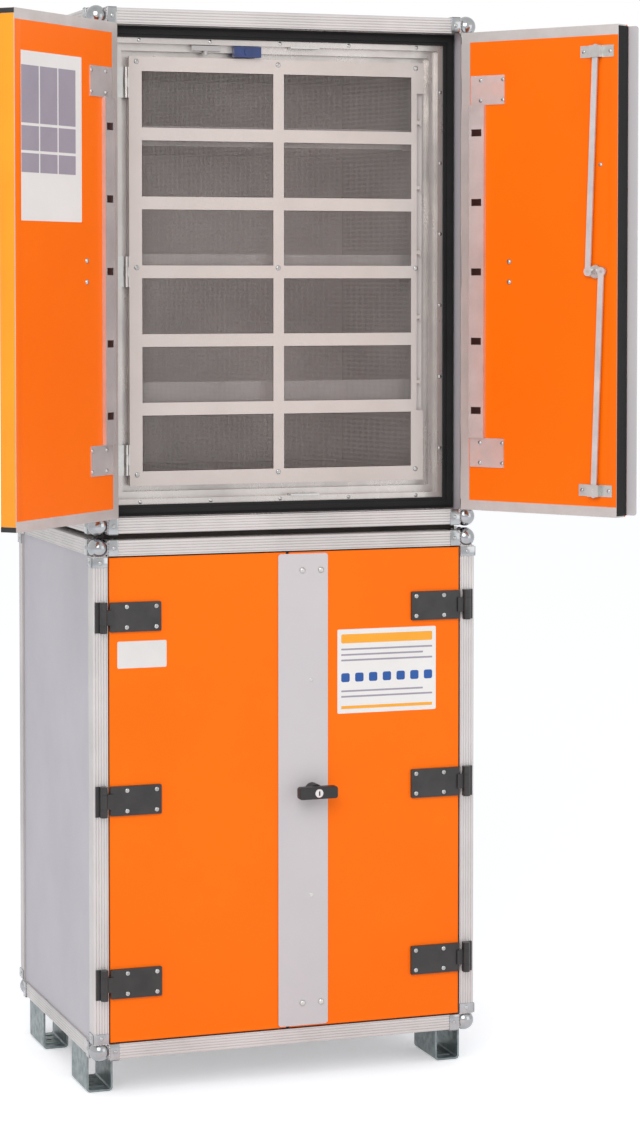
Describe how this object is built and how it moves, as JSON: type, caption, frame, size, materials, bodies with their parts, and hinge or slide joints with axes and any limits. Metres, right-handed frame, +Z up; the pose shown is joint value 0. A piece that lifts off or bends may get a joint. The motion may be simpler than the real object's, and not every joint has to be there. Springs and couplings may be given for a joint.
{
  "type": "battery cabinet",
  "caption": "Tall two-tier safety cabinet for batteries: orange double doors, ribbed aluminium frame, ball corners, inner mesh door and shelves, on U-shaped feet.",
  "frame": {"origin": "on the floor at the middle of the four feet", "axes": "+X to the right and +Y to the back as seen from the front, +Z up"},
  "size_m": [1.2629, 0.9607, 2.1365],
  "materials": {
    "ribbed_aluminium": "ribbed, satin",
    "chromed_steel": "polished",
    "grey_panel": "light grey sheet",
    "inner_sheet": "light sheet",
    "trim_sheet": "satin",
    "black_rubber": "matt",
    "black_hinge": "black, satin",
    "zinc_plate": "zinc plated",
    "mesh_frame_sheet": "light beige coat",
    "wire_cloth": "fine woven wire",
    "orange_coat": "smooth orange coat",
    "edge_aluminium": "satin",
    "polished_steel": "polished stainless",
    "grey_coat": "light grey coat",
    "black_handle": "black",
    "lock_chrome": "polished",
    "rod_steel": "bright",
    "sensor_blue": "dark blue",
    "galvanised_steel": "galvanised",
    "dark_board": "dark board"
  },
  "bodies": {
    "cabinet": {"feet": "galvanised_steel", "stack_board": "dark_board", "lower_mesh_hinges": "zinc_plate", "upper_mesh_hinge_posts": "zinc_plate", "upper_ceiling_fittings": "sensor_blue", "lower_frame_rails": "ribbed_aluminium", "lower_corner_balls": "chromed_steel", "lower_wall_panels": "grey_panel", "lower_liner": "inner_sheet", "lower_opening_trim": "trim_sheet", "lower_door_seal": "black_rubber", "lower_shelves": "inner_sheet", "lower_hinge_posts": "black_hinge", "lower_rod_keepers": "zinc_plate", "lower_mesh_frame": "mesh_frame_sheet", "lower_mesh_cloth": "wire_cloth", "upper_frame_rails": "ribbed_aluminium", "upper_corner_balls": "chromed_steel", "upper_wall_panels": "grey_panel", "upper_liner": "inner_sheet", "upper_opening_trim": "trim_sheet", "upper_door_seal": "black_rubber", "upper_shelves": "inner_sheet", "upper_hinge_posts": "black_hinge", "upper_rod_keepers": "zinc_plate"},
    "lower_left_door": {"lower_left_panel": "orange_coat", "lower_left_edging": "edge_aluminium", "lower_left_hinge_leaves": "black_hinge", "lower_left_catch_strip": "polished_steel"},
    "lower_right_door": {"lower_right_panel": "orange_coat", "lower_right_edging": "edge_aluminium", "lower_right_hinge_leaves": "black_hinge", "lower_right_catch_strip": "polished_steel", "lower_cover_strip": "grey_coat", "lower_centre_seal": "black_rubber", "lower_rod_guides": "zinc_plate"},
    "lower_lock": {"lower_handle": "black_handle", "lower_cam": "zinc_plate"},
    "lower_key": {"lower_key_cylinder": "lock_chrome"},
    "lower_rod_up": {"lower_upper_rod": "rod_steel"},
    "lower_rod_down": {"lower_lower_rod": "rod_steel"},
    "upper_left_door": {"upper_left_panel": "orange_coat", "upper_left_edging": "edge_aluminium", "upper_left_hinge_leaves": "black_hinge", "upper_left_catch_strip": "polished_steel"},
    "upper_right_door": {"upper_right_panel": "orange_coat", "upper_right_edging": "edge_aluminium", "upper_right_hinge_leaves": "black_hinge", "upper_right_catch_strip": "polished_steel", "upper_cover_strip": "grey_coat", "upper_centre_seal": "black_rubber", "upper_rod_guides": "zinc_plate"},
    "upper_lock": {"upper_handle": "black_handle", "upper_cam": "zinc_plate"},
    "upper_key": {"upper_key_cylinder": "lock_chrome"},
    "upper_rod_up": {"upper_upper_rod": "rod_steel"},
    "upper_rod_down": {"upper_lower_rod": "rod_steel"},
    "upper_mesh_door": {"upper_mesh_frame": "mesh_frame_sheet", "upper_mesh_cloth": "wire_cloth", "upper_mesh_hinge_leaves": "zinc_plate"}
  },
  "joints": [
    {"name": "lower_right_door_hinge", "type": "hinge", "parent": "cabinet", "child": "lower_right_door", "pos_m": [0.38, -0.314, 0.59], "axis": [0, 0, 1], "range_deg": [0, 136]},
    {"name": "lower_left_door_hinge", "type": "hinge", "parent": "cabinet", "child": "lower_left_door", "pos_m": [-0.38, -0.314, 0.59], "axis": [0, 0, -1], "range_deg": [0, 136]},
    {"name": "lower_handle_turn", "type": "hinge", "parent": "lower_right_door", "child": "lower_lock", "pos_m": [0.05, -0.305, 0.59], "axis": [0, -1, 0], "range_deg": [0, 90]},
    {"name": "lower_key_turn", "type": "hinge", "parent": "lower_lock", "child": "lower_key", "pos_m": [0.05, -0.345, 0.59], "axis": [0, -1, 0], "range_deg": [0, 90]},
    {"name": "lower_rod_up_pin", "type": "hinge", "parent": "lower_lock", "child": "lower_rod_up", "pos_m": [0.065, -0.263, 0.59], "axis": [0, -1, 0], "range_deg": [-92.2, 0]},
    {"name": "lower_rod_down_pin", "type": "hinge", "parent": "lower_lock", "child": "lower_rod_down", "pos_m": [0.035, -0.263, 0.59], "axis": [0, -1, 0], "range_deg": [-92.2, 0]},
    {"name": "upper_right_door_hinge", "type": "hinge", "parent": "cabinet", "child": "upper_right_door", "pos_m": [0.38, -0.314, 1.622], "axis": [0, 0, 1], "range_deg": [-124, 12]},
    {"name": "upper_left_door_hinge", "type": "hinge", "parent": "cabinet", "child": "upper_left_door", "pos_m": [-0.38, -0.314, 1.622], "axis": [0, 0, -1], "range_deg": [-136, 0]},
    {"name": "upper_handle_turn", "type": "hinge", "parent": "upper_right_door", "child": "upper_lock", "pos_m": [0.55707, -0.59262, 1.622], "axis": [0.829, 0.5592, 0], "range_deg": [0, 90]},
    {"name": "upper_key_turn", "type": "hinge", "parent": "upper_lock", "child": "upper_key", "pos_m": [0.59023, -0.57025, 1.622], "axis": [0.829, 0.5592, 0], "range_deg": [0, 90]},
    {"name": "upper_rod_up_pin", "type": "hinge", "parent": "upper_lock", "child": "upper_rod_up", "pos_m": [0.51387, -0.60367, 1.622], "axis": [0.829, 0.5592, 0], "range_deg": [-92.2, 0]},
    {"name": "upper_rod_down_pin", "type": "hinge", "parent": "upper_lock", "child": "upper_rod_down", "pos_m": [0.53064, -0.62854, 1.622], "axis": [0.829, 0.5592, 0], "range_deg": [-92.2, 0]},
    {"name": "upper_mesh_door_hinge", "type": "hinge", "parent": "cabinet", "child": "upper_mesh_door", "pos_m": [-0.3145, -0.249, 1.622], "axis": [0, 0, -1], "range_deg": [0, 95]}
  ],
  "couplings": [
    {"joint": "lower_left_door_hinge", "follows": "lower_right_door_hinge", "ratio": 1},
    {"joint": "lower_rod_up_pin", "follows": "lower_handle_turn", "ratio": -1.0225},
    {"joint": "lower_rod_down_pin", "follows": "lower_handle_turn", "ratio": -1.0225},
    {"joint": "upper_rod_up_pin", "follows": "upper_handle_turn", "ratio": -1.0225},
    {"joint": "upper_rod_down_pin", "follows": "upper_handle_turn", "ratio": -1.0225}
  ]
}
